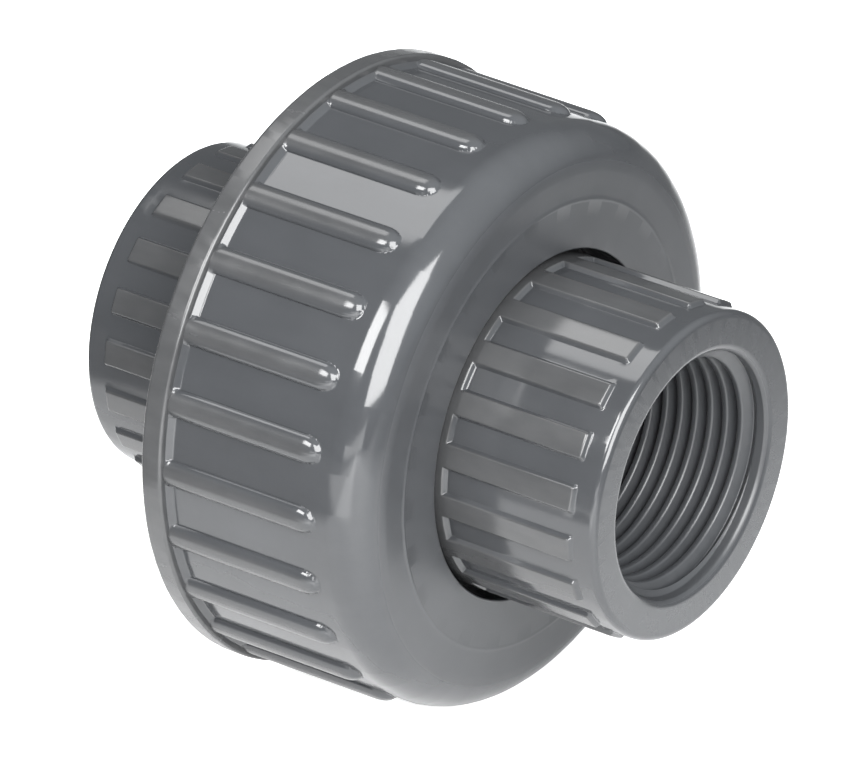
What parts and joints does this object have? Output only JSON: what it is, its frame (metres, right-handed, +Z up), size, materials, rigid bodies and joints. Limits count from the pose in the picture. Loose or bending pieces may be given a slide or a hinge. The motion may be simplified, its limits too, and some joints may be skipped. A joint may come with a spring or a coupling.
{
  "type": "pipe union",
  "caption": "Plastic pipe union: a ribbed nut joins two threaded pipe hubs face to face over an O-ring, so a pipe run can be opened without turning the pipes.",
  "frame": {"origin": "midway between the two end faces, on the pipe axis", "axes": "+X along the pipe axis, out of the tailpiece (front) end; +Z up"},
  "size_m": [0.064, 0.0652, 0.0652],
  "materials": {
    "head_pvc": "satin-gloss moulded grey PVC",
    "seal_rubber": "smooth black rubber",
    "tailpiece_pvc": "satin-gloss moulded grey PVC",
    "nut_pvc": "satin-gloss moulded grey PVC"
  },
  "bodies": {
    "head": {"head": "head_pvc"},
    "seal": {"o_ring": "seal_rubber"},
    "nut": {"union_nut": "nut_pvc"},
    "tailpiece": {"tailpiece": "tailpiece_pvc"}
  },
  "joints": [
    {"name": "seal_travel", "type": "slide", "parent": "head", "child": "seal", "axis": [1, 0, 0], "range_m": [0, 0.012]},
    {"name": "nut_turn", "type": "hinge", "parent": "seal", "child": "nut", "pos_m": [0, 0, 0], "axis": [1, 0, 0], "range_deg": [0, 1080]},
    {"name": "tailpiece_swivel", "type": "hinge", "parent": "seal", "child": "tailpiece", "pos_m": [0, 0, 0], "axis": [1, 0, 0], "continuous": true}
  ],
  "couplings": [
    {"joint": "seal_travel", "follows": "nut_turn", "m_per_rad": 0.00063662}
  ]
}
